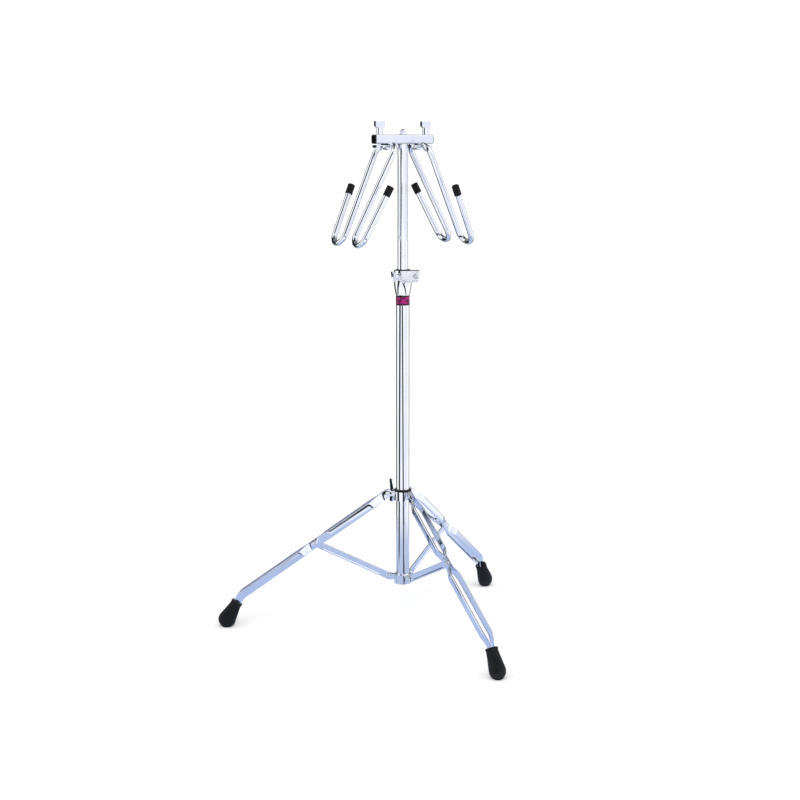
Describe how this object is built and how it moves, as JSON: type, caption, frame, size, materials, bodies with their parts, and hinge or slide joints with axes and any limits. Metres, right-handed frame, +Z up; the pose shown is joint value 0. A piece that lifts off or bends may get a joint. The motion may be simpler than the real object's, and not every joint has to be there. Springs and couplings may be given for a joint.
{
  "type": "hand cymbal cradle stand",
  "caption": "Chrome floor stand with a folding double-braced tripod, a telescoping mast and a swivelling bar with hooked rod arms that hold a pair of hand cymbals.",
  "frame": {"origin": "on the floor under the mast axis", "axes": "+X along the cradle bar, -Y towards the front leg, +Z up the mast"},
  "size_m": [0.703, 0.6136, 1.0929],
  "materials": {
    "chrome_tube": "polished",
    "chrome_legs": "polished",
    "chrome_rod": "polished",
    "chrome_cast": "polished",
    "plated_steel": "satin",
    "rubber": "matte",
    "nylon": "matte",
    "band": "gloss"
  },
  "bodies": {
    "base": {"lower_tube": "chrome_tube", "tube_bottom_plug": "nylon", "brace_hub": "chrome_cast", "hub_set_screw": "plated_steel", "hub_rivets": "plated_steel", "colour_band": "band", "height_clamp": "chrome_cast", "clamp_bushing": "nylon", "clamp_pinch_screw": "plated_steel", "clamp_pinch_nut": "plated_steel"},
    "collar": {"leg_collar": "chrome_cast", "leg_collar_bushing": "nylon", "collar_rivets": "plated_steel"},
    "collar_screw": {"collar_wing_screw": "plated_steel"},
    "clamp_bolt": {"clamp_wing_bolt": "plated_steel"},
    "mast": {"upper_tube": "chrome_tube", "upper_tube_guide": "nylon", "mast_top_insert": "plated_steel", "pivot_bolt": "plated_steel", "pivot_washer": "plated_steel", "acorn_nut": "plated_steel"},
    "cradle": {"cradle_bar": "chrome_cast", "bar_end_plugs": "nylon", "jaw_rivets": "plated_steel"},
    "leg_left": {"leg_left_strap_near": "chrome_legs", "leg_left_strap_far": "chrome_legs", "leg_left_foot_spacer": "nylon", "leg_left_waist_rivets": "plated_steel", "leg_left_rubber_foot": "rubber"},
    "brace_left": {"brace_left": "chrome_legs"},
    "leg_front": {"leg_front_strap_near": "chrome_legs", "leg_front_strap_far": "chrome_legs", "leg_front_foot_spacer": "nylon", "leg_front_waist_rivets": "plated_steel", "leg_front_rubber_foot": "rubber"},
    "brace_front": {"brace_front": "chrome_legs"},
    "leg_back": {"leg_back_strap_near": "chrome_legs", "leg_back_strap_far": "chrome_legs", "leg_back_foot_spacer": "nylon", "leg_back_waist_rivets": "plated_steel", "leg_back_rubber_foot": "rubber"},
    "brace_back": {"brace_back": "chrome_legs"},
    "arm_left": {"arm_left": "chrome_rod", "tip_left_front": "rubber", "tip_left_back": "rubber"},
    "jaw_left": {"jaw_left": "chrome_cast", "jaw_nut_left": "plated_steel"},
    "t_bolt_left": {"t_bolt_left": "plated_steel"},
    "arm_right": {"arm_right": "chrome_rod", "tip_right_front": "rubber", "tip_right_back": "rubber"},
    "jaw_right": {"jaw_right": "chrome_cast", "jaw_nut_right": "plated_steel"},
    "t_bolt_right": {"t_bolt_right": "plated_steel"}
  },
  "joints": [
    {"name": "collar_slide", "type": "slide", "parent": "base", "child": "collar", "axis": [0, 0, 1], "range_m": [0, 0.1822]},
    {"name": "collar_screw_turn", "type": "hinge", "parent": "collar", "child": "collar_screw", "pos_m": [0, 0.045, 0.29817], "axis": [0, 1, 0], "continuous": true},
    {"name": "clamp_bolt_turn", "type": "hinge", "parent": "base", "child": "clamp_bolt", "pos_m": [-0.02762, -0.01172, 0.7708], "axis": [-0.9205, -0.3907, 0], "continuous": true},
    {"name": "mast_slide", "type": "slide", "parent": "base", "child": "mast", "axis": [0, 0, 1], "range_m": [-0.2, 0.17]},
    {"name": "cradle_swivel", "type": "hinge", "parent": "mast", "child": "cradle", "pos_m": [0, 0, 1.056], "axis": [0, 0, 1], "continuous": true},
    {"name": "leg_left_fold", "type": "hinge", "parent": "collar", "child": "leg_left", "pos_m": [-0.02771, 0.016, 0.30117], "axis": [-0.5, -0.866, 0], "range_deg": [0, 50.6]},
    {"name": "brace_left_fold", "type": "hinge", "parent": "base", "child": "brace_left", "pos_m": [-0.02685, 0.0155, 0.117], "axis": [0.5, 0.866, 0], "range_deg": [0, 60.95]},
    {"name": "leg_front_fold", "type": "hinge", "parent": "collar", "child": "leg_front", "pos_m": [0, -0.032, 0.30117], "axis": [1, 0, 0], "range_deg": [0, 50.6]},
    {"name": "brace_front_fold", "type": "hinge", "parent": "base", "child": "brace_front", "pos_m": [0, -0.031, 0.117], "axis": [-1, 0, 0], "range_deg": [0, 60.95]},
    {"name": "leg_back_fold", "type": "hinge", "parent": "collar", "child": "leg_back", "pos_m": [0.02771, 0.016, 0.30117], "axis": [-0.5, 0.866, 0], "range_deg": [0, 50.6]},
    {"name": "brace_back_fold", "type": "hinge", "parent": "base", "child": "brace_back", "pos_m": [0.02685, 0.0155, 0.117], "axis": [0.5, -0.866, 0], "range_deg": [0, 60.95]},
    {"name": "arm_left_tilt", "type": "hinge", "parent": "cradle", "child": "arm_left", "pos_m": [-0.036, 0, 1.0451], "axis": [0, 1, 0], "range_deg": [-20, 25]},
    {"name": "t_bolt_left_turn", "type": "hinge", "parent": "cradle", "child": "t_bolt_left", "pos_m": [-0.055, 0, 1.07], "axis": [0, 0, 1], "range_deg": [0, 450]},
    {"name": "jaw_left_open", "type": "hinge", "parent": "cradle", "child": "jaw_left", "pos_m": [-0.0207, 0, 1.051], "axis": [0, -1, 0], "range_deg": [0, 2.05]},
    {"name": "arm_right_tilt", "type": "hinge", "parent": "cradle", "child": "arm_right", "pos_m": [0.036, 0, 1.0451], "axis": [0, -1, 0], "range_deg": [-20, 25]},
    {"name": "t_bolt_right_turn", "type": "hinge", "parent": "cradle", "child": "t_bolt_right", "pos_m": [0.055, 0, 1.07], "axis": [0, 0, 1], "range_deg": [0, 450]},
    {"name": "jaw_right_open", "type": "hinge", "parent": "cradle", "child": "jaw_right", "pos_m": [0.0207, 0, 1.051], "axis": [0, 1, 0], "range_deg": [0, 2.05]}
  ],
  "couplings": [
    {"joint": "leg_left_fold", "follows": "collar_slide", "rad_per_m": 4.8351},
    {"joint": "brace_left_fold", "follows": "collar_slide", "rad_per_m": 5.8265},
    {"joint": "leg_front_fold", "follows": "collar_slide", "rad_per_m": 4.8351},
    {"joint": "brace_front_fold", "follows": "collar_slide", "rad_per_m": 5.8265},
    {"joint": "leg_back_fold", "follows": "collar_slide", "rad_per_m": 4.8351},
    {"joint": "brace_back_fold", "follows": "collar_slide", "rad_per_m": 5.8265},
    {"joint": "jaw_left_open", "follows": "t_bolt_left_turn", "ratio": 0.0044444},
    {"joint": "jaw_right_open", "follows": "t_bolt_right_turn", "ratio": 0.0044444}
  ]
}
